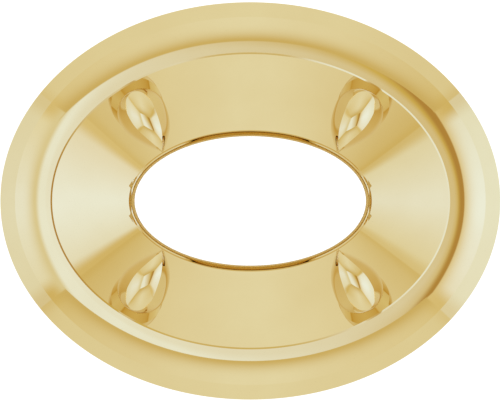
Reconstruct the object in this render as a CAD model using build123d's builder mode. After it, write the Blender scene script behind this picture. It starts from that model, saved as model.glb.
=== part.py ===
"""Oval slide pendant mounting, unset: a polished gold casting with a domed rim, a seat and four prongs.

The frame has the face towards +Z, the long axis along X, and the origin in the middle of the flat foot.
All lengths are in millimetres and all angles in degrees.
"""
import math
import os

from build123d import *

# outline of the face, as seen from the front
outline_length = 9.75
outline_width = 7.75

# rim: a bevel along the outer edge, a crease, and a low dome that is level where the seat begins
bevel_run = 0.29
bevel_slope = 42.0
rim_run = 0.71
crease_slope = 26.7

# seat: the flat-sided cone that the stone would look down into
seat_run = 1.50
seat_slope = 19.7

# opening: the see-through hole below the seat, with a short tapered wall at its mouth
mouth_run = 0.11
mouth_height = 0.176

# chain tunnel along X, with a flat roof that just nicks the foot of the seat
tunnel_width = 0.96
tunnel_height = 1.10
tunnel_corner = 0.21
tunnel_floor = 0.50
tunnel_nick = 0.016

# under body: an upright girdle below the bevel, then a bowl down to the flat foot
girdle_height = 0.30
foot_inset = 1.30

# prongs: pear-shaped claws, pointed at the nose over the seat's foot and blunt at the heel over the lip;
# the nose bends a little towards the middle of the long side
prong_station = 43.1
prong_heading = 64.4
prong_length = 1.335
prong_half_width = 0.475
prong_rise = 1.00
nose_inset = 0.012
nose_sway = 0.035

# prong head: it flares out from above its crown down to its widest level, and an egg-shaped crown rounds
# its top; the crown's centre lies a little nearer the heel than the nose
head_height = 0.66
head_overshoot = 0.06
crown_half_length = 0.89
crown_half_width = 0.53
crown_half_height = 0.78
crown_station = 0.646

# prong shank: it tapers from the widest level down into the foot of the seat
shank_sink = 0.15

# bowl sections from the foot up: share of the bowl's height, share of the foot's inset
bowl_sections = [
    (0.00, 1.00),
    (0.22, 0.55),
    (0.58, 0.19),
    (1.00, 0.00),
]

# prong sections: where the nose and the heel lie as shares of the prong's length, and the half width at
# the shoulder and half way from the nose to it as shares of the greatest half width
head_top = (0.037, 0.944, 0.38, 0.30)
widest = (0.000, 0.995, 1.00, 0.77)
shank_root = (0.000, 0.831, 0.76, 0.54)

# levels above the foot
seat_foot_level = tunnel_floor + tunnel_height - tunnel_nick
lip_level = seat_foot_level + seat_run * math.tan(math.radians(seat_slope))
dome_radius = rim_run / math.sin(math.radians(crease_slope))
bevel_drop = bevel_run * math.tan(math.radians(bevel_slope))
prong_top_level = lip_level + prong_rise
widest_level = prong_top_level - head_height

# insets from the outline
lip_inset = bevel_run + rim_run
seat_foot_inset = lip_inset + seat_run
opening_inset = seat_foot_inset + mouth_run

# dome sections as shares of the angle from the crease to the level lip
dome_shares = (0.0, 0.25, 0.5, 0.75, 1.0)


def half_axes(inset):
    """Half length and half width of the oval that lies a given inset inside the outline."""
    return outline_length / 2 - inset, outline_width / 2 - inset


def dome_point(share):
    """Inset and level on the rim's arc, whose centre is straight below the lip."""
    slope = math.radians(crease_slope) * (1 - share)
    inset = lip_inset - dome_radius * math.sin(slope)
    level = lip_level - dome_radius * (1 - math.cos(slope))
    return inset, level


def pear(shares):
    """Corners of a pear along X: its nose, the middle of a side, its shoulder and its heel."""
    nose_share, heel_share, width_share, middle_share = shares
    nose = prong_length * nose_share
    heel = prong_length * heel_share
    half_width = prong_half_width * width_share
    shoulder = heel - half_width
    middle = (nose + shoulder) / 2
    return nose, (middle, prong_half_width * middle_share), (shoulder, half_width), heel


dome_points = [dome_point(share) for share in dome_shares]
crease_level = dome_points[0][1]
edge_level = crease_level - bevel_drop
girdle_level = edge_level - girdle_height

os.makedirs("parts", exist_ok=True)

# under body, a solid bowl with the flat foot
with BuildPart() as bowl:
    for height_share, inset_share in bowl_sections:
        with BuildSketch(Plane.XY.offset(girdle_level * height_share)):
            Ellipse(*half_axes(foot_inset * inset_share))
    loft()

# girdle and bevel
with BuildPart() as edge:
    for inset, level in [(0, girdle_level), (0, edge_level), (bevel_run, crease_level)]:
        with BuildSketch(Plane.XY.offset(level)):
            Ellipse(*half_axes(inset))
    loft(ruled=True)

# domed rim, still full across the middle
with BuildPart() as rim:
    for inset, level in dome_points:
        with BuildSketch(Plane.XY.offset(level)):
            Ellipse(*half_axes(inset))
    loft()

# hollow of the seat with the tapered mouth of the opening
with BuildPart() as seat_hollow:
    for inset, level in [
        (lip_inset, lip_level),
        (seat_foot_inset, seat_foot_level),
        (opening_inset, seat_foot_level - mouth_height),
    ]:
        with BuildSketch(Plane.XY.offset(level)):
            Ellipse(*half_axes(inset))
    loft(ruled=True)

# straight part of the opening, down through the foot
with BuildPart() as opening:
    with BuildSketch():
        Ellipse(*half_axes(opening_inset))
    extrude(amount=seat_foot_level - mouth_height)

# chain tunnel, longer than the body at both ends
with BuildPart() as tunnel:
    with BuildSketch(Plane.YZ):
        with Locations((0, tunnel_floor + tunnel_height / 2)):
            RectangleRounded(tunnel_width, tunnel_height, tunnel_corner)
    extrude(amount=outline_length, both=True)

# one prong, in the quarter where X and Y are positive
seat_foot_x, seat_foot_y = half_axes(seat_foot_inset - nose_inset)
nose_x = seat_foot_x * math.cos(math.radians(prong_station))
nose_y = seat_foot_y * math.sin(math.radians(prong_station))
heading = Vector(1, 0, 0).rotate(Axis.Z, prong_heading)
prong_plane = Plane(origin=(nose_x, nose_y, 0), x_dir=heading, z_dir=(0, 0, 1))
crown_centre = prong_plane.from_local_coords((crown_station, 0, prong_top_level - crown_half_height))
crown_place = Location(crown_centre, (0, 0, prong_heading))

with BuildPart() as crown:
    Sphere(crown_half_height)
    scale(by=(crown_half_length / crown_half_height, crown_half_width / crown_half_height, 1))

with BuildPart() as head:
    for shares, level in [(widest, widest_level), (head_top, prong_top_level + head_overshoot)]:
        nose, (middle_x, middle_y), (shoulder_x, shoulder_y), heel = pear(shares)
        with BuildSketch(prong_plane.offset(level)):
            with BuildLine():
                ThreePointArc((nose, nose_sway), (middle_x, -middle_y), (shoulder_x, -shoulder_y))
                ThreePointArc((shoulder_x, -shoulder_y), (heel, 0), (shoulder_x, shoulder_y))
                ThreePointArc((shoulder_x, shoulder_y), (middle_x, middle_y), (nose, nose_sway))
            make_face()
    loft(ruled=True)
    with Locations(crown_place):
        add(crown.part, mode=Mode.INTERSECT)

with BuildPart() as shank:
    for shares, level in [(shank_root, seat_foot_level - shank_sink), (widest, widest_level)]:
        nose, (middle_x, middle_y), (shoulder_x, shoulder_y), heel = pear(shares)
        with BuildSketch(prong_plane.offset(level)):
            with BuildLine():
                ThreePointArc((nose, nose_sway), (middle_x, -middle_y), (shoulder_x, -shoulder_y))
                ThreePointArc((shoulder_x, -shoulder_y), (heel, 0), (shoulder_x, shoulder_y))
                ThreePointArc((shoulder_x, shoulder_y), (middle_x, middle_y), (nose, nose_sway))
            make_face()
    loft(ruled=True)

with BuildPart() as prongs:
    add(head.part)
    add(shank.part)
    mirror(about=Plane.YZ)
    mirror(about=Plane.XZ)

# the casting, with everything fused into one solid
with BuildPart() as mounting:
    add(bowl.part)
    add(edge.part)
    add(rim.part)
    add(seat_hollow.part, mode=Mode.SUBTRACT)
    add(opening.part, mode=Mode.SUBTRACT)
    add(tunnel.part, mode=Mode.SUBTRACT)
    add(prongs.part)

mounting.part.label = "mounting"
export_step(mounting.part, "parts/mounting.step")

print("levels: foot 0, girdle %.3f, edge %.3f, crease %.3f" % (girdle_level, edge_level, crease_level))
print("levels: seat foot %.3f, lip %.3f, prong top %.3f" % (seat_foot_level, lip_level, prong_top_level))
print("volume of the casting %.2f cubic millimetres" % mounting.part.volume)
print("solids in the casting", len(mounting.part.solids()))
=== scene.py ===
# %% [markdown]
# # An oval slide pendant mounting in polished gold
#
# This lesson dresses a jeweller's casting: an oval frame with a domed rim, a cone-shaped seat for a stone,
# four claws that wait to be bent over the stone, and a tunnel along its length for the chain.
#
# The real thing is one piece of gold, cast in one pour and then polished until it works like a mirror. So the
# model is one closed shell as well. What makes polished metal look real is almost never its own colour: it
# is what it reflects. Half of this lesson is therefore about the light tent that stands round the piece.
#
# The first cell loads the fixed frame, the solid model that gives the true sizes. Everything here is in
# metres and lies in that same frame, so nothing has to be moved or scaled afterwards.

# %% Load the frame
import math

import bpy
import numpy as np
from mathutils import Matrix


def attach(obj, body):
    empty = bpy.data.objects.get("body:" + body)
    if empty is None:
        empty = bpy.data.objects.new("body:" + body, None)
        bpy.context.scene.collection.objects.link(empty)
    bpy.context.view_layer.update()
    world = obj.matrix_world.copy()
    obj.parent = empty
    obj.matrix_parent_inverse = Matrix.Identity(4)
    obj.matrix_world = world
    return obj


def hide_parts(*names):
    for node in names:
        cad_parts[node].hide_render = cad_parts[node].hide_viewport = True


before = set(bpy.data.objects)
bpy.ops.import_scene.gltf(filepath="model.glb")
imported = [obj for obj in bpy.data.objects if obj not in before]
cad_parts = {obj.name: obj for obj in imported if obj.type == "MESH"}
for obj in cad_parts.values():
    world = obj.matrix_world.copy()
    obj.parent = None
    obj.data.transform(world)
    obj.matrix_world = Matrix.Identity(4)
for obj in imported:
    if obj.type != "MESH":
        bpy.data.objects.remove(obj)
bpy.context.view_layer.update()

scene = bpy.context.scene
scene.view_settings.view_transform = "Standard"


# %% [markdown]
# ## Sizes
#
# A goldsmith would read these off the wax model with callipers. Here they are scaled from a photo that has
# no ruler in it, taking it that the seat is made for a stone of 6 by 4 mm. The heights and slopes are read
# from reflections, so they are estimates.
#
# Lengths are in millimetres, because that is how jewellery is measured, and one constant turns them into
# Blender's metres. Slopes are in degrees above the level: they matter more than any length, since a mirror
# that tilts by one degree turns what it shows by two.
#
# From the outline inwards come the bevel, the rim and the seat. The seat's foot lies a hair below the roof of
# the solid's tunnel, so that the tunnel nicks it, and the seat's run and slope give the level of the lip.

# %% Named sizes
MM = 0.001

HALF_LENGTH = 4.875
HALF_WIDTH = 3.875

BEVEL_RUN = 0.29
RIM_RUN = 0.71
SEAT_RUN = 1.50
SEAT_SLOPE = math.radians(19.7)

TUNNEL_FLOOR = 0.50
TUNNEL_HEIGHT = 1.10
TUNNEL_NICK = 0.016

lip_inset = BEVEL_RUN + RIM_RUN
foot_of_seat_inset = lip_inset + SEAT_RUN
seat_foot_level = TUNNEL_FLOOR + TUNNEL_HEIGHT - TUNNEL_NICK
lip_level = seat_foot_level + SEAT_RUN * math.tan(SEAT_SLOPE)
print("seat foot at %.3f mm, lip at %.3f mm above the table" % (seat_foot_level, lip_level))

# %% [markdown]
# ## From a grid of points to a mesh
#
# Every surface below is a function of two parameters, worked out for a whole grid at once. The grid's rows
# and columns then become four-sided faces. If the last column joins the first, the surface is a tube, and if
# the last row joins the first as well, it is a closed ring like a tyre, with no edge at all.

# %% Grid helpers
def grid_faces(rows, columns, rows_close=False):
    """Numbers of the four corners of each face, going round: a point, its neighbour along the row, and the
    two points below them. A point's number is its row times the number of columns, plus its column."""
    last = rows if rows_close else rows - 1
    row, column = np.meshgrid(np.arange(last), np.arange(columns), indexing="ij")
    next_row = (row + 1) % rows
    next_column = (column + 1) % columns
    corners = [row * columns + column, row * columns + next_column]
    corners += [next_row * columns + next_column, next_row * columns + column]
    return np.stack(corners, axis=-1).reshape(-1, 4)


def mesh_from(name, points, faces):
    """Makes an object from points in millimetres and a list of faces, each a list of point numbers."""
    mesh = bpy.data.meshes.new(name)
    mesh.from_pydata((points * MM).tolist(), [], faces)
    mesh.update()
    piece = bpy.data.objects.new(name, mesh)
    scene.collection.objects.link(piece)
    return piece


print("a tube of 3 rings with 8 points each has", len(grid_faces(3, 8)), "faces")

# %% [markdown]
# ## The profile of the frame
#
# Seen from the front, every line of this frame is an oval that lies the same distance inside the outline:
# the crease, the lip, the foot of the seat, the edge of the opening. That is how such a frame is cut, with
# one profile carried round an oval.
#
# So the profile is a list of pairs, inset and level. It starts on the flat foot, climbs the bowl-shaped
# underside and the upright girdle, takes the bevel, runs over the domed rim to the lip, falls down the seat
# and the short mouth of the opening, and drops back to the foot. Three helpers draw its stretches.

# %% Lines and curves for the profile
def arc_profile(centre_inset, top_level, radius, first_slope, last_slope, count):
    """Arc with its top over its centre: the inset is the centre's plus the radius times the sine of the
    slope, and the drop is the radius times one minus the cosine."""
    slope = np.linspace(first_slope, last_slope, count)
    return np.stack([centre_inset + radius * np.sin(slope), top_level - radius * (1 - np.cos(slope))], -1)


def line_profile(start, end, count):
    """Straight line between two points of the profile, both ends included."""
    share = np.linspace(0, 1, count)[:, None]
    return np.asarray(start) * (1 - share) + np.asarray(end) * share


def sloping_profile(start, run, places, slopes, count):
    """Curve whose slope is named at a few places: each short step goes down by its length times the tangent
    of the slope half way along it, and the steps are added up."""
    share = np.linspace(0, 1, count)
    slope = np.interp((share[1:] + share[:-1]) / 2, places, slopes)
    drop = np.concatenate([[0], np.cumsum(np.tan(slope) * run / (count - 1))])
    return np.stack([start[0] + run * share, start[1] - drop], -1)


print("half way along a line:", line_profile((0, 2), (4, 0), 3)[1])

# %% [markdown]
# ### The dome and its edges
#
# A dome whose section is an arc of a circle has an easy rule: the sine of its slope grows evenly with the
# distance from its top. The eye reads that as a smooth run of tones. Two small things sharpen the picture:
# the dome stops just short of level, and the polishing cloth has left a narrow facet along the lip. It shows
# as a hairline, bright on one side of the piece and dark on the other.

# %% Dome, lip, bevel and girdle
BEVEL_SLOPE = math.radians(42.0)
CREASE_SLOPE = math.radians(26.7)
TOP_SLOPE = math.radians(3.7)
LIP_RUN = 0.032
LIP_SLOPE = math.radians(9.5)
GIRDLE_HEIGHT = 0.30
DOME_POINTS = 40

dome_radius = RIM_RUN / math.sin(CREASE_SLOPE)
dome = arc_profile(lip_inset, lip_level, dome_radius, -CREASE_SLOPE, -TOP_SLOPE, DOME_POINTS)
lip_start = (lip_inset - LIP_RUN / 2, lip_level)
lip_end = (lip_inset + LIP_RUN / 2, lip_level - LIP_RUN * math.tan(LIP_SLOPE))

# the dome is lifted so that its last slope, carried on, meets the start of the facet
dome[:, 1] += lip_level - (lip_start[0] - dome[-1][0]) * math.tan(TOP_SLOPE) - dome[-1][1]
crease = dome[0]
edge = (0.0, crease[1] - BEVEL_RUN * math.tan(BEVEL_SLOPE))
girdle = (0.0, edge[1] - GIRDLE_HEIGHT)
print("levels in mm: girdle %.3f, edge %.3f, crease %.3f" % (girdle[1], edge[1], crease[1]))

# %% [markdown]
# ### The seat and the mouth of the opening
#
# The seat is straight, so that a stone can lie on it. The mouth below it has two sections. Along the long
# sides it bends over at once and reflects only gold, so it looks brown. At the two ends it has a small flat
# that still reaches the light, so a thin pale line runs along it.

# %% Seat and mouth
MOUTH_RUN = 0.11
MOUTH_LEAD = 0.02
MOUTH_POINTS = 41

# shares of the mouth's run, and the slopes there, first along the long sides and then at the two ends
SIDE_PLACES = (0.00, 0.08, 0.12, 0.30, 0.42, 0.75, 1.00)
SIDE_SLOPES = np.radians([19.7, 36.0, 42.0, 46.0, 53.0, 57.0, 72.0])
END_PLACES = (0.00, 0.13, 0.17, 0.37, 0.41, 0.54, 0.60, 0.72, 1.00)
END_SLOPES = np.radians([19.7, 19.7, 43.0, 43.0, 27.0, 30.0, 52.0, 58.0, 74.0])

seat_end = foot_of_seat_inset - MOUTH_LEAD
seat_foot = (seat_end, lip_end[1] - (seat_end - lip_end[0]) * math.tan(SEAT_SLOPE))
mouth_run = MOUTH_LEAD + MOUTH_RUN
side_mouth = sloping_profile(seat_foot, mouth_run, SIDE_PLACES, SIDE_SLOPES, MOUTH_POINTS)
end_mouth = sloping_profile(seat_foot, mouth_run, END_PLACES, END_SLOPES, MOUTH_POINTS)
opening_foot = (side_mouth[-1][0], 0.0)
mouth_drops = (seat_foot[1] - side_mouth[-1][1], seat_foot[1] - end_mouth[-1][1])
print("the mouth drops %.3f mm at the sides and %.3f mm at the ends" % mouth_drops)

# %% [markdown]
# ### The underside
#
# Nobody sees the back of a pendant, but the wearer feels it: it is a plain bowl with a flat foot. Four
# sections say how it narrows, and the one cubic curve that passes through all four makes it smooth.

# %% Bowl
FOOT_INSET = 1.30
BOWL_POINTS = 20

# shares of the bowl's height, and of the foot's inset
SECTION_HEIGHTS = (0.00, 0.22, 0.58, 1.00)
SECTION_INSETS = (1.00, 0.55, 0.19, 0.00)

bowl_cubic = np.polyfit(SECTION_HEIGHTS, SECTION_INSETS, 3)
bowl_height = np.linspace(0, 1, BOWL_POINTS)
bowl = np.stack([np.polyval(bowl_cubic, bowl_height) * FOOT_INSET, bowl_height * girdle[1]], -1)
print("the bowl is %.3f mm high" % girdle[1])

# %% [markdown]
# ### All stretches in a row
#
# Where one stretch ends and the next begins, their shared point is kept once. A flat stretch needs few
# points. The curved ones get many, because a mirror shows every facet. The difference between the mouth's
# two sections is kept apart, as a rise that only the ends will get.

# %% Profile, bottom to top to bottom
GIRDLE_POINTS = 3
BEVEL_POINTS = 8
TOP_POINTS = 4
LIP_POINTS = 3
SEAT_POINTS = 24
WALL_STEPS = 7

profile = np.concatenate([
    bowl,
    line_profile(girdle, edge, GIRDLE_POINTS)[1:],
    line_profile(edge, crease, BEVEL_POINTS)[1:-1],
    dome,
    line_profile(dome[-1], lip_start, TOP_POINTS)[1:],
    line_profile(lip_start, lip_end, LIP_POINTS)[1:],
    line_profile(lip_end, seat_foot, SEAT_POINTS)[1:],
    side_mouth[1:],
    line_profile(side_mouth[-1], opening_foot, WALL_STEPS + 1)[1:],
])
mouth_stop = len(profile) - WALL_STEPS
end_rise = np.zeros((len(profile), 1))
end_rise[mouth_stop - MOUTH_POINTS + 1:mouth_stop] = (end_mouth - side_mouth)[1:, 1:]
print("profile points", len(profile), "greatest rise at the ends %.3f mm" % end_rise.max())

# %% [markdown]
# ## The frame itself
#
# Now the profile is carried round. The two parameters are the place on the profile and the turn round the
# oval. Taking the same inset off both half axes keeps every line an oval.
#
# The cosine of the turn is 1 at the ends and 0 at the long sides, so it also tells how much of the ends'
# mouth a place gets: none up to the first value below, all from the second, and a smooth S in between.

# %% Carry the profile round the oval
TURN_STEPS = 440
END_FROM = 0.34
END_FULL = 0.70


def oval_surface(inset, level, turn):
    """Point on the frame: x is the half length less the inset, times the cosine of the turn, y is the half
    width less the inset, times its sine, and z is the level."""
    x = (HALF_LENGTH - inset) * np.cos(turn)
    y = (HALF_WIDTH - inset) * np.sin(turn)
    return np.stack(np.broadcast_arrays(x, y, level), axis=-1)


turn = np.linspace(0, 2 * np.pi, TURN_STEPS, endpoint=False)
end_share = np.clip((np.abs(np.cos(turn)) - END_FROM) / (END_FULL - END_FROM), 0, 1)
end_share = end_share ** 2 * (3 - 2 * end_share)
frame_points = oval_surface(profile[:, :1], profile[:, 1:] + end_rise * end_share, turn)
ring_faces = grid_faces(len(profile), TURN_STEPS, rows_close=True)[:, ::-1]
casting = mesh_from("mounting_casting", frame_points.reshape(-1, 3), ring_faces.tolist())
print("frame points", len(casting.data.vertices), "faces", len(casting.data.polygons))

# %% [markdown]
# ## The chain tunnel
#
# A slide pendant has no ring at the top. The chain passes straight through the body, here from end to end,
# through a passage with rounded corners. On a casting it is drilled or left open in the wax.
#
# A passage is easiest to make as the thing that isn't there: a long bar with the tunnel's section, which a
# Boolean takes away further down.
#
# The roof comes up so close under the foot of the seat that its two sides, a little higher than its middle,
# break through it as four small brown nicks.

# %% Section of the tunnel
TUNNEL_WIDTH = 0.96
TUNNEL_CORNER = 0.21
CORNER_LEVEL = 1.40
ROOF_LEVEL = 1.578
CORNER_POINTS = 12

# the shallow relief: where it starts, is highest and ends, from the middle out, and the last two's levels
RELIEF_PLACES = (0.24, 0.29, 0.42)
RELIEF_LEVELS = (1.600, 1.591)


def tunnel_section():
    """Section of the tunnel, once round. The floor's corners are quarter circles. The roof is flat along its
    middle, and a needle file has left a shallow relief on both sides of that."""
    quarter = np.linspace(0, np.pi / 2, CORNER_POINTS)
    side = TUNNEL_WIDTH / 2
    floor_y = side - TUNNEL_CORNER + TUNNEL_CORNER * np.cos(quarter)
    floor_z = TUNNEL_FLOOR + TUNNEL_CORNER - TUNNEL_CORNER * np.sin(quarter)
    roof_y = [side, *RELIEF_PLACES[::-1]]
    roof_z = [CORNER_LEVEL, *RELIEF_LEVELS[::-1], ROOF_LEVEL]
    side_y = np.concatenate([floor_y[::-1], roof_y])
    side_z = np.concatenate([floor_z[::-1], roof_z])
    return np.concatenate([side_y, -side_y[::-1]]), np.concatenate([side_z, side_z[::-1]])


bar_y, bar_z = tunnel_section()
print("tunnel %.2f mm wide, %.2f mm high" % (TUNNEL_WIDTH, ROOF_LEVEL - TUNNEL_FLOOR))

# %% [markdown]
# ### Where the tunnel meets the opening
#
# Two small things happen there. A thin lintel of gold hangs below the roof and carries the mouth on across
# the tunnel, so the nicks lie behind the mouth's pale line. And the edge of the floor is rolled over.
#
# Both are shifts of the bar's points downwards. Where the bar's floor sinks, the metal's edge falls away, and
# where its roof sinks, metal stays. The shifts depend on the inset, like everything on this frame, so they
# follow the oval: the further a point lies from the x axis, the nearer to the middle they come.

# %% A bar in the tunnel's shape
BAR_REACH = 1.5
BAR_MIDDLE = 1.05
NEAR_OPENING = (2.00, 2.52)
NEAR_POINTS = 60
ROLL_LEAD = 0.04
ROLL_PLACES = (0.00, 0.04, 0.12, 0.17)
ROLL_DROPS = (0.000, 0.042, 0.130, 0.220)
LINTEL_PLACES = (0.045, 0.055)
LINTEL_DROPS = (0.000, 0.175)

bar_end = BAR_REACH * HALF_LENGTH
near_x = np.linspace(*NEAR_OPENING, NEAR_POINTS)
bar_x = np.concatenate([[-bar_end], -near_x[::-1], near_x, [bar_end]])[:, None]

# an oval's half length shrinks with y as the root of one minus the square of y over the half width
narrowing = np.sqrt(1 - (bar_y / (HALF_WIDTH - foot_of_seat_inset)) ** 2)
bar_inset = HALF_LENGTH - np.abs(bar_x) / narrowing
rolled = np.interp(bar_inset - (seat_end - ROLL_LEAD), ROLL_PLACES, ROLL_DROPS)
hung = np.interp(bar_inset - seat_end, LINTEL_PLACES, LINTEL_DROPS)

# points below the bar's middle belong to the floor, and those above it to the roof
bar_z = np.where(bar_z < BAR_MIDDLE, bar_z - rolled, bar_z - hung)

bar = np.stack(np.broadcast_arrays(bar_x, bar_y, bar_z), axis=-1)
bar_rows, bar_columns = bar.shape[:2]
last_row = (bar_rows - 1) * bar_columns
bar_faces = grid_faces(bar_rows, bar_columns).tolist()
bar_faces += [list(range(bar_columns))[::-1], list(range(last_row, last_row + bar_columns))]
tunnel_bar = mesh_from("tunnel_bar", bar.reshape(-1, 3), bar_faces)
print("clear height below the lintel %.2f mm" % (ROOF_LEVEL - LINTEL_DROPS[-1] - TUNNEL_FLOOR))

# %% [markdown]
# ## The claws
#
# Each claw is shaped like a pear with its thin end, the nose, over the foot of the seat and its blunt end,
# the heel, over the rim. It stands well proud of the rim, widens all the way down its flanks, and gets
# slimmer again where it roots in the seat. The jeweller later cuts a notch for the stone and bends it in.
#
# Three outlines are stacked: the edge of the rounded crown, the widest one, and the root. They lie along x
# with the nose near 0, and are turned and carried to their place at the very end.

# %% Outlines of a claw
# nose, shoulder, heel and half width in mm, then how full the nose side is
CROWN_EDGE = (0.030, 0.930, 1.300, 0.267, 1.95)
CLAW_WIDEST = (-0.015, 0.880, 1.340, 0.475, 2.1)
CLAW_ROOT = (0.000, 0.620, 1.120, 0.360, 1.8)
OUTLINE_POINTS = 28


def pear_section(nose, shoulder, heel, half_width, fullness):
    """Pear along x. Behind the shoulder it is half an oval. Ahead of it the half width shrinks as one minus
    the share of the way to the nose raised to the fullness."""
    angle = np.linspace(0, np.pi / 2, OUTLINE_POINTS)
    heel_x = shoulder + (heel - shoulder) * np.cos(angle)
    heel_y = half_width * np.sin(angle)
    nose_share = np.sin(angle[1:])
    nose_x = shoulder - (shoulder - nose) * nose_share
    nose_y = half_width * (1 - nose_share ** fullness)
    x = np.concatenate([heel_x, nose_x])
    y = np.concatenate([heel_y, nose_y])
    return np.concatenate([x, x[-2:0:-1]]), np.concatenate([y, -y[-2:0:-1]])


edge_x, edge_y = pear_section(*CROWN_EDGE)
widest_x, widest_y = pear_section(*CLAW_WIDEST)
root_x, root_y = pear_section(*CLAW_ROOT)
print("points round a claw", len(edge_x))

# %% [markdown]
# ### The crown
#
# The crown is part of an egg, an ellipsoid, so the height of every point on it comes from the egg's formula.
# Its rings are copies of the crown's edge, shrunk towards the egg's highest point.

# %% Crown of a claw
EGG_CENTRE = 0.657
EGG_HALF_LENGTH = 0.889
EGG_HALF_WIDTH = 0.528
EGG_HALF_HEIGHT = 0.780
CROWN_SHARES = np.concatenate([[0.02], np.linspace(0.06, 1, 30)])


def crown_drop(x, y):
    """How far the egg lies below its highest point: half height times one minus the root of one minus the
    squares of the distances over the half axes."""
    rest = 1 - ((x - EGG_CENTRE) / EGG_HALF_LENGTH) ** 2 - (y / EGG_HALF_WIDTH) ** 2
    return EGG_HALF_HEIGHT * (1 - np.sqrt(np.maximum(rest, 0)))


crown_share = CROWN_SHARES[:, None]
crown_x = EGG_CENTRE + (edge_x - EGG_CENTRE) * crown_share
crown_y = edge_y * crown_share
crown_down = crown_drop(crown_x, crown_y)
edge_drop = crown_drop(edge_x, edge_y)
print("crown edge lies %.3f to %.3f mm below the top" % (edge_drop.min(), edge_drop.max()))

# %% [markdown]
# ### The flank and the shank
#
# The flank runs from the crown's edge to the widest outline. It starts as a straight slope and turns steep
# before the widest line, late at the heel and early at the nose. So its fall is a mix of the share of the way
# out and a power of that share. Its rings lie closest together near the widest line, where it bends.
#
# The shank below runs straight down to the root, which sinks into the seat so that the two can be fused.

# %% Flank and shank of a claw
HEAD_HEIGHT = 0.700
HEAD_TILT = 0.38
HEEL_STEEP = 0.28
NOSE_STEEP = 0.58
HEEL_POWER = 12
NOSE_POWER = 3
FLANK_SHARES = 1 - np.linspace(0.97, 0, 24) ** 1.5
CLAW_RISE = 1.00
ROOT_SINK = 0.15
SHANK_SHARES = np.linspace(0, 1, 16)[1:]

flank_share = FLANK_SHARES[:, None]
widest_drop = HEAD_HEIGHT + HEAD_TILT * (CLAW_WIDEST[2] - widest_x)
toward_nose = np.clip((CROWN_EDGE[1] - edge_x) / (CROWN_EDGE[1] - CROWN_EDGE[0]), 0, 1)
steep = HEEL_STEEP + (NOSE_STEEP - HEEL_STEEP) * toward_nose
power = HEEL_POWER + (NOSE_POWER - HEEL_POWER) * toward_nose
fall = (1 - steep) * flank_share + steep * flank_share ** power
flank_x = edge_x + (widest_x - edge_x) * flank_share
flank_y = edge_y + (widest_y - edge_y) * flank_share
flank_down = edge_drop + (widest_drop - edge_drop) * fall

shank_share = SHANK_SHARES[:, None]
root_down = lip_level + CLAW_RISE - seat_foot_level + ROOT_SINK
shank_x = widest_x + (root_x - widest_x) * shank_share
shank_y = widest_y + (root_y - widest_y) * shank_share
shank_down = widest_drop + (root_down - widest_drop) * shank_share
print("widest line lies %.3f to %.3f mm below the top" % (widest_drop.min(), widest_drop.max()))

# %% [markdown]
# ### One claw
#
# Each surface starts just past the last ring of the one above it, so the three stack into one grid. The
# jeweller has pressed the noses a little towards the middle of the long side: that bend is the last touch.

# %% Stack the surfaces and bend the nose
NOSE_SWAY = 0.035
SWAY_START = 0.25
SWAY_END = 0.80


def nose_bend(x):
    """Sideways bend of the nose: full up to the sway's start, then half a cosine wave down to nothing."""
    past_start = np.clip((x - SWAY_START) / (SWAY_END - SWAY_START), 0, 1)
    return NOSE_SWAY * (0.5 + 0.5 * np.cos(np.pi * past_start))


claw_x = np.concatenate([crown_x, flank_x, shank_x])
claw_y = np.concatenate([crown_y, flank_y, shank_y])
claw_y = claw_y + nose_bend(claw_x)
claw_down = np.concatenate([crown_down, flank_down, shank_down])
claw_rows, claw_columns = claw_x.shape
print("claw grid", claw_x.shape)

# %% [markdown]
# ### Four claws
#
# Four claws stand at the corners of the stone, each the mirror image of its neighbours. Mirroring turns a
# surface inside out, so the corners of the faces run one way round on two of the claws, and the other way on
# the two between them. The first and last rings are closed with one face each.

# %% Place the four claws
CLAW_STATION = math.radians(43.1)
CLAW_HEADING = math.radians(64.4)

nose_x = (HALF_LENGTH - foot_of_seat_inset) * math.cos(CLAW_STATION)
nose_y = (HALF_WIDTH - foot_of_seat_inset) * math.sin(CLAW_STATION)
place_x = nose_x + claw_x * math.cos(CLAW_HEADING) - claw_y * math.sin(CLAW_HEADING)
place_y = nose_y + claw_x * math.sin(CLAW_HEADING) + claw_y * math.cos(CLAW_HEADING)
place_z = lip_level + CLAW_RISE - claw_down
first_ring = list(range(claw_columns))
last_ring = list(range((claw_rows - 1) * claw_columns, claw_rows * claw_columns))
claws = []
for side_x, side_y in [(1, 1), (-1, 1), (-1, -1), (1, -1)]:
    points = np.stack([side_x * place_x, side_y * place_y, place_z], axis=-1).reshape(-1, 3)
    faces = grid_faces(claw_rows, claw_columns).tolist() + [first_ring[::-1], last_ring]
    if side_x * side_y > 0:
        faces = [face[::-1] for face in faces]
    claws.append(mesh_from("claw_%d" % (len(claws) + 1), points, faces))
print("nose at x %.3f, y %.3f mm; top at %.3f mm" % (nose_x, nose_y, place_z.max()))

# %% [markdown]
# ## One casting
#
# Booleans now do what the pour does: the claws become one with the frame, and the tunnel is left open. All
# the shells are closed, so the quick and exact Manifold solver can be used. The result is kept as a plain
# mesh, and the helpers are thrown away.
#
# Smooth shading blends the tones across neighbouring faces, but only up to the angle below. Anything sharper
# is a real edge, such as the lip or a nick, and stays crisp.

# %% Fuse the claws, open the tunnel
SHARP_ANGLE = math.radians(8)


def join_or_cut(piece, other, operation):
    """Adds one Boolean step with another closed shell: UNION joins it on, DIFFERENCE cuts it away."""
    step = piece.modifiers.new(operation.lower(), "BOOLEAN")
    step.operation = operation
    step.solver = "MANIFOLD"
    step.object = other


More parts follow.
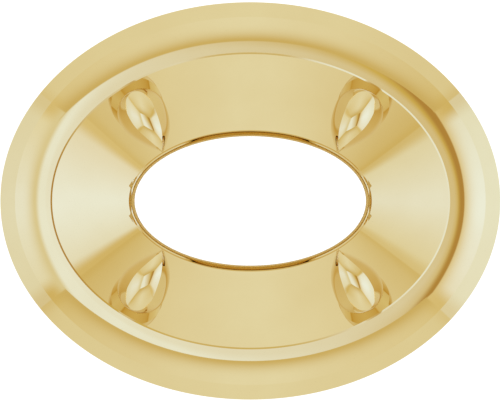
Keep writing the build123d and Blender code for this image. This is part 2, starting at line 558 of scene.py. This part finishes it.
join_or_cut(casting, tunnel_bar, "DIFFERENCE")
for claw in claws:
    join_or_cut(casting, claw, "UNION")
shown = casting.evaluated_get(bpy.context.evaluated_depsgraph_get())
fused = bpy.data.meshes.new_from_object(shown)
casting.modifiers.clear()
casting.data = fused
for helper in [tunnel_bar, *claws]:
    bpy.data.objects.remove(helper)
fused.polygons.foreach_set("use_smooth", np.ones(len(fused.polygons), dtype=bool))
fused.set_sharp_from_angle(angle=SHARP_ANGLE)
fused.calc_loop_triangles()
print("casting faces", len(fused.polygons), "triangles", len(fused.loop_triangles))

# %% [markdown]
# ## Polished yellow gold
#
# Fourteen carat yellow gold is a metal, so it has no colour of its own under the gloss: it tints what it
# reflects. Red comes back strongest, blue weakest, and each further bounce between two walls of the same
# piece tints the light again, which is why the hollows of gold look browner than its rims.
#
# A hand-polished piece is never a perfect mirror. The buffing wheel leaves a faint orange-peel swell, and
# cloths leave hair-thin scratches that only show as a slight haze. Both are noise. It follows Object
# coordinates, which are metres here, so its scales are large numbers: 1000 waves per metre is one per
# millimetre.

# %% Noise for the gold
gold = bpy.data.materials.new("polished_gold")
gold.use_nodes = True
gold_nodes = gold.node_tree.nodes
gold_links = gold.node_tree.links
place = gold_nodes.new("ShaderNodeTexCoord")


def noise(scale, detail, squeeze=(1, 1, 1)):
    """Noise over Object coordinates: scale in waves per metre, and squeeze packs the waves along an axis."""
    mapping = gold_nodes.new("ShaderNodeMapping")
    mapping.inputs["Scale"].default_value = squeeze
    grain = gold_nodes.new("ShaderNodeTexNoise")
    grain.inputs["Scale"].default_value = scale
    grain.inputs["Detail"].default_value = detail
    gold_links.new(place.outputs["Object"], mapping.inputs["Vector"])
    gold_links.new(mapping.outputs["Vector"], grain.inputs["Vector"])
    return grain.outputs["Fac"]


def spread(value, low, high):
    """Maps 0.3 to 0.7, where most of the noise lies, to the range from low to high."""
    change = gold_nodes.new("ShaderNodeMapRange")
    change.inputs["From Min"].default_value = 0.3
    change.inputs["From Max"].default_value = 0.7
    change.inputs["To Min"].default_value = low
    change.inputs["To Max"].default_value = high
    gold_links.new(value, change.inputs["Value"])
    return change.outputs["Result"]


print("material", gold.name)

# %% [markdown]
# ### Tone, haze and swell
#
# Three noises go into one shader. The tone wanders between two close golds, as an alloy does. The haze is
# the roughness, with its waves packed three times closer along y, because the cloth ran along the piece. The
# swell is a bump four thousandths of a millimetre high, of which only a twentieth is used.

# %% Gold material
DEEP_GOLD = (0.771, 0.568, 0.226, 1)
LIGHT_GOLD = (0.789, 0.592, 0.244, 1)
TONE_WAVES = 900
HAZE_WAVES = 2600
HAZE_SQUEEZE = (1, 3, 1)
LEAST_HAZE = 0.024
MOST_HAZE = 0.040
SWELL_WAVES = 1400
SWELL_STRENGTH = 0.05
SWELL_HEIGHT = 0.004 * MM

surface = gold_nodes["Principled BSDF"]
surface.inputs["Metallic"].default_value = 1.0

tone = gold_nodes.new("ShaderNodeMix")
tone.data_type = "RGBA"
tone_inputs = [socket for socket in tone.inputs if socket.type == "RGBA"]
tone_inputs[0].default_value = DEEP_GOLD
tone_inputs[1].default_value = LIGHT_GOLD
tone_output = [socket for socket in tone.outputs if socket.type == "RGBA"][0]
gold_links.new(spread(noise(TONE_WAVES, detail=3), 0, 1), tone.inputs["Factor"])
gold_links.new(tone_output, surface.inputs["Base Color"])

haze = spread(noise(HAZE_WAVES, detail=4, squeeze=HAZE_SQUEEZE), LEAST_HAZE, MOST_HAZE)
gold_links.new(haze, surface.inputs["Roughness"])

swell = gold_nodes.new("ShaderNodeBump")
swell.inputs["Strength"].default_value = SWELL_STRENGTH
swell.inputs["Distance"].default_value = SWELL_HEIGHT
gold_links.new(noise(SWELL_WAVES, detail=1), swell.inputs["Height"])
gold_links.new(swell.outputs["Normal"], surface.inputs["Normal"])
print("gold has", len(gold_nodes), "nodes")

# %% [markdown]
# ### Tie the casting to the frame
#
# The casting takes the gold and moves with the only body, the root. It stands for the plain solid, which
# isn't shown but still gives the piece its weight and its collisions.

# %% Dress the casting
casting.data.materials.clear()
casting.data.materials.append(gold)
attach(casting, "root")
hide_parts("mounting")
print("casting wears", casting.data.materials[0].name)

# %% [markdown]
# ## The table
#
# Catalogue pictures of jewellery stand on pure white, so the camera sees the floor as evenly lit paper. The
# light and the metal meet a matt surface of a warm yellow instead, with a faint glow. Both are painted light:
# the gold reflects this floor, and the tint and the glow make those reflections warm and pale. Real paper has
# no such tint: it was chosen by comparing renders with the photo. A Light Path node tells the two apart.

# %% Pale floor
FLOOR_REACH = 400
FLOOR_GAP = 0.002
# painted light: this warm tint and the glow below only tint and brighten the gold's reflections of the floor
PAPER_PAINTED_TINT = (0.84, 0.73, 0.44, 1)
PAPER_ROUGHNESS = 0.6
PAPER_PAINTED_GLOW = (1.0, 0.87, 0.52, 1)
PAINTED_GLOW_STRENGTH = 0.20
WHITE_STRENGTH = 1.2

floor_corners = np.array([[-1, -1, 0], [1, -1, 0], [1, 1, 0], [-1, 1, 0]]) * FLOOR_REACH
floor_corners = floor_corners - [0, 0, FLOOR_GAP]
floor = mesh_from("floor", floor_corners, [[0, 1, 2, 3]])
paper = bpy.data.materials.new("white_paper_with_painted_glow")
paper.use_nodes = True
paper_nodes = paper.node_tree.nodes
paper_links = paper.node_tree.links
matt_with_painted_glow = paper_nodes["Principled BSDF"]
matt_with_painted_glow.inputs["Base Color"].default_value = PAPER_PAINTED_TINT
matt_with_painted_glow.inputs["Roughness"].default_value = PAPER_ROUGHNESS
# the painted glow, for every ray but the camera's
matt_with_painted_glow.inputs["Emission Color"].default_value = PAPER_PAINTED_GLOW
matt_with_painted_glow.inputs["Emission Strength"].default_value = PAINTED_GLOW_STRENGTH
white = paper_nodes.new("ShaderNodeEmission")
white.inputs["Strength"].default_value = WHITE_STRENGTH
kind_of_ray = paper_nodes.new("ShaderNodeLightPath")
choose = paper_nodes.new("ShaderNodeMixShader")
paper_links.new(kind_of_ray.outputs["Is Camera Ray"], choose.inputs["Fac"])
paper_links.new(matt_with_painted_glow.outputs["BSDF"], choose.inputs[1])
paper_links.new(white.outputs["Emission"], choose.inputs[2])
paper_links.new(choose.outputs["Shader"], paper_nodes["Material Output"].inputs["Surface"])
floor.data.materials.append(paper)
print("floor %.1f m wide" % (2 * FLOOR_REACH * MM))

# %% [markdown]
# ## The light tent
#
# Jewellery is shot inside a box of white cloth, so that the metal has nothing but soft panels to reflect.
# This one has four side panels and a ceiling, with dim gaps where they meet. A polished dome then shows
# cream, a thin brown line, and cream again: that brown line is the gap between side panel and ceiling.
#
# The photo doesn't show its tent. The sizes and colours below were adjusted by comparing renders with the
# photo, so they make up one tent that gives such a picture, and not a record of the real one.
#
# The tent is drawn in the world's nodes from the direction of each ray, so there is nothing to build and
# nothing that gets in the camera's way. Many small sums are needed, and four helpers keep them short.

# %% Node helpers for the tent
world = bpy.data.worlds.new("light_tent")
scene.world = world
world.use_nodes = True
tent_nodes = world.node_tree.nodes
tent_links = world.node_tree.links


def feed(socket, value):
    """Sets a socket to a number or colour, or links another node's output to it."""
    if isinstance(value, (int, float)):
        socket.default_value = value
    elif isinstance(value, tuple):
        socket.default_value = (*value, 1)
    else:
        tent_links.new(value, socket)


def calc(operation, *values):
    """One Math node."""
    node = tent_nodes.new("ShaderNodeMath")
    node.operation = operation
    for socket, value in zip(node.inputs, values):
        feed(socket, value)
    return node.outputs[0]


def fade(value, start, end, kind="SMOOTHSTEP"):
    """Goes from 0 to 1 while the value goes from start to end, and stays there outside."""
    node = tent_nodes.new("ShaderNodeMapRange")
    node.interpolation_type = kind
    feed(node.inputs["Value"], value)
    node.inputs["From Min"].default_value = start
    node.inputs["From Max"].default_value = end
    return node.outputs["Result"]


def mix(factor, first, second, blend="MIX"):
    """Mixes two colours: the first at a factor of 0, the second at 1."""
    node = tent_nodes.new("ShaderNodeMix")
    node.data_type = "RGBA"
    node.blend_type = blend
    feed(node.inputs["Factor"], factor)
    sockets = [socket for socket in node.inputs if socket.type == "RGBA"]
    feed(sockets[0], first)
    feed(sockets[1], second)
    return [socket for socket in node.outputs if socket.type == "RGBA"][0]


print("world", world.name)

# %% [markdown]
# ### Which wall a ray meets
#
# East is +X, north is +Y. Dividing the ray's x and y by the tent's reach on that side and comparing the two
# tells which wall the ray hits. Dividing its z by the larger one tells how high up that wall it hits, with 1
# at the ceiling. The smaller over the larger tells how near it comes to a corner of the tent, with 1 in it.
#
# The tent isn't quite even: the east panel stands a little nearer than the west one, and the corners are
# pulled off the diagonals.

# %% Sort the rays by wall
EAST_REACH = 0.39
WEST_REACH = 0.45
LONG_REACH = 0.33
CORNER_PULL = 0.91
NORTH_EAST_PULL = 0.13
SOFT = 0.01
TINY = 0.0001

direction = tent_nodes.new("ShaderNodeTexCoord")
split = tent_nodes.new("ShaderNodeSeparateXYZ")
tent_links.new(direction.outputs["Generated"], split.inputs[0])
east, north, up = split.outputs
up = calc("MAXIMUM", up, 0.0)
is_east = fade(east, -SOFT, SOFT)
is_north = fade(north, -SOFT, SOFT)
other_diagonal = calc("ABSOLUTE", calc("SUBTRACT", is_east, is_north))
end_reach = calc("MULTIPLY_ADD", is_east, EAST_REACH - WEST_REACH, WEST_REACH)
reach_x = calc("DIVIDE", calc("ABSOLUTE", east), end_reach)
reach_y = calc("DIVIDE", calc("ABSOLUTE", north), LONG_REACH)
pull = calc("MULTIPLY_ADD", calc("MULTIPLY", is_east, is_north), NORTH_EAST_PULL, CORNER_PULL)
pulled_y = calc("MULTIPLY", reach_y, pull)
on_long_wall = fade(calc("SUBTRACT", pulled_y, reach_x), -SOFT, SOFT)
corner_share = calc("DIVIDE", calc("MINIMUM", reach_x, pulled_y), calc("MAXIMUM", reach_x, pulled_y))
sideways = calc("MAXIMUM", calc("MAXIMUM", reach_x, reach_y), TINY)
height_share = calc("DIVIDE", up, sideways)
ceiling_share = calc("DIVIDE", sideways, calc("MAXIMUM", up, TINY))
print("nodes that sort the rays", len(tent_nodes))

# %% [markdown]
# ### Side panels
#
# No panel is evenly lit. Each has a colour in its middle, one towards its corners and one at its top, and
# the cloth of the seams between panels is darker. Colours above 1 are simply brighter than paper white. The
# blues are high, because the gold takes most of the blue away.

# %% Colours of the side panels
EAST_PANEL = (0.98, 1.19, 1.82)
EAST_NORTH_END = (0.90, 1.01, 1.28)
EAST_SOUTH_END = (0.91, 0.98, 1.20)
EAST_TOP = (0.80, 0.72, 0.50)

WEST_PANEL = (0.93, 1.07, 1.48)
WEST_NORTH_END = (0.86, 0.87, 0.80)
WEST_SOUTH_END = (0.875, 0.93, 1.00)
WEST_TOP = (0.81, 0.81, 0.74)

LONG_PANEL = (0.88, 0.92, 0.96)
LONG_DIM_END = (0.755, 0.665, 0.40)
LONG_LIGHT_END = (0.795, 0.74, 0.55)
LONG_TOP = (0.70, 0.59, 0.32)

DIM_SEAM = (0.73, 0.62, 0.33)
LIGHT_SEAM = (0.78, 0.70, 0.46)
CEILING_GAP = (0.50, 0.32, 0.11)
END_LOW = (0.94, 0.90, 0.78)
LONG_LOW = (0.975, 0.96, 0.91)
FULL_WHITE = (1.0, 1.0, 1.0)

seam = mix(other_diagonal, DIM_SEAM, LIGHT_SEAM)
east_end = mix(is_north, EAST_SOUTH_END, EAST_NORTH_END)
west_end = mix(is_north, WEST_SOUTH_END, WEST_NORTH_END)
long_end = mix(other_diagonal, LONG_DIM_END, LONG_LIGHT_END)
print("nodes with the panels' colours", len(tent_nodes))

# %% [markdown]
# ### Hang the panels
#
# One function hangs every panel, with its colours and with the places where each fade starts and ends, as
# shares of the way to the corner or to the ceiling. The east panel alone ends in a gap below the ceiling.

# %% Side panels
PANEL_SPREAD = (0.06, 1.0)
END_SEAM = (0.76, 0.95)
LONG_SEAM = (0.86, 1.00)
EAST_RISE = (0.35, 1.10)
WEST_RISE = (0.45, 1.00)
LONG_RISE = (0.33, 0.93)
EAST_GAP = (0.90, 1.0)
FLOOR_SHADE = (0.0, 0.25)
CORNER_AT_FLOOR = 0.35

off_floor = fade(height_share, *FLOOR_SHADE)
corner_strength = calc("MULTIPLY_ADD", off_floor, 1 - CORNER_AT_FLOOR, CORNER_AT_FLOOR)


def hang(middle, end, seam_fade, top, top_fade, low):
    """One panel: its middle runs evenly to its end colour at the corner, then into the seam, fades to the
    top colour towards the ceiling, and is dimmed a little towards the floor."""
    to_end = calc("MULTIPLY", fade(corner_share, *PANEL_SPREAD, "LINEAR"), corner_strength)
    to_seam = calc("MULTIPLY", fade(corner_share, *seam_fade), corner_strength)
    panel = mix(to_seam, mix(to_end, middle, end), seam)
    panel = mix(fade(height_share, *top_fade), panel, top)
    return mix(1.0, panel, mix(off_floor, low, FULL_WHITE), "MULTIPLY")


east_wall = hang(EAST_PANEL, east_end, END_SEAM, EAST_TOP, EAST_RISE, END_LOW)
east_wall = mix(fade(height_share, *EAST_GAP), east_wall, CEILING_GAP)
west_wall = hang(WEST_PANEL, west_end, END_SEAM, WEST_TOP, WEST_RISE, END_LOW)
long_wall = hang(LONG_PANEL, long_end, LONG_SEAM, LONG_TOP, LONG_RISE, LONG_LOW)
walls = mix(on_long_wall, mix(is_east, west_wall, east_wall), long_wall)
print("nodes with the panels hung", len(tent_nodes))

# %% [markdown]
# ### The ceiling
#
# Dividing x and y by z gives the place where a ray meets a level ceiling. The ceiling gets brighter in one
# direction, towards a window in the west-south-west. Near the west and long walls it takes the colour of
# their tops, and on the east side it ends in the same gap as the panel below it. At last the whole tent is
# multiplied by the strength and tint of the lamps outside.

# %% Ceiling and lamps
CEILING_DARK = (0.69, 0.56, 0.21)
CEILING_BRIGHT = (0.94, 1.10, 1.55)
WINDOW_EAST = -0.93
WINDOW_NORTH = -0.36
WINDOW_FADE = (-0.25, 0.16)
WEST_EDGE = (-0.30, -0.45)
LONG_EDGE = (0.31, 0.35)
LONG_SHIFT = 0.008
EAST_EDGE = (0.20, 0.33)
EAST_SKEW = 0.12
LAMP_TINT = (1.10, 1.21, 1.53)

height = calc("MAXIMUM", up, TINY)
ceiling_x = calc("DIVIDE", east, height)
ceiling_y = calc("DIVIDE", north, height)
toward_window = calc("MULTIPLY_ADD", ceiling_x, WINDOW_EAST, calc("MULTIPLY", ceiling_y, WINDOW_NORTH))
toward_long_wall = calc("ABSOLUTE", calc("ADD", ceiling_y, LONG_SHIFT))
toward_gap = calc("MULTIPLY_ADD", ceiling_y, EAST_SKEW, ceiling_x)
ceiling = mix(fade(toward_window, *WINDOW_FADE, "LINEAR"), CEILING_DARK, CEILING_BRIGHT)
ceiling = mix(fade(ceiling_x, *WEST_EDGE), ceiling, WEST_TOP)
ceiling = mix(fade(toward_long_wall, *LONG_EDGE), ceiling, LONG_TOP)
ceiling = mix(fade(toward_gap, *EAST_EDGE), ceiling, CEILING_GAP)
tent = mix(fade(ceiling_share, 1 - SOFT, 1 + SOFT), ceiling, walls)
tent = mix(1.0, tent, LAMP_TINT, "MULTIPLY")
print("tent nodes", len(tent_nodes))

# %% [markdown]
# ### Plain white behind the piece
#
# The gold sees the tent, but a camera that looks past the table sees plain white, as in a catalogue.

# %% What the camera sees of the world
ray = tent_nodes.new("ShaderNodeLightPath")
sky = mix(ray.outputs["Is Camera Ray"], tent, FULL_WHITE)
tent_links.new(sky, tent_nodes["Background"].inputs["Color"])
print("background strength", tent_nodes["Background"].inputs["Strength"].default_value)

# %% [markdown]
# ## The camera
#
# The picture was taken square-on from the front with a long lens, so the camera hangs straight above the
# piece, 34 centimetres away. The lens follows from the width that it has to cover. Nobody aims a camera
# perfectly: the middle of the picture lies a few thousandths of a millimetre beside the middle of the oval.

# %% Camera
DISTANCE = 340.0
VIEW_WIDTH = 9.736
AIM_X = -0.006
AIM_Y = -0.002
SENSOR_WIDTH = 36

# the range that the camera sees, in metres
NEAREST = 0.01
FURTHEST = 10

lens =bpy.data.cameras.new("camera")
lens.sensor_width = SENSOR_WIDTH
lens.lens = SENSOR_WIDTH * DISTANCE / VIEW_WIDTH
lens.clip_start = NEAREST
lens.clip_end = FURTHEST
camera = bpy.data.objects.new("camera", lens)
camera.location = (AIM_X * MM, AIM_Y * MM, (DISTANCE + lip_level) * MM)
scene.collection.objects.link(camera)
scene.camera = camera
print("focal length %.0f mm" % lens.lens)
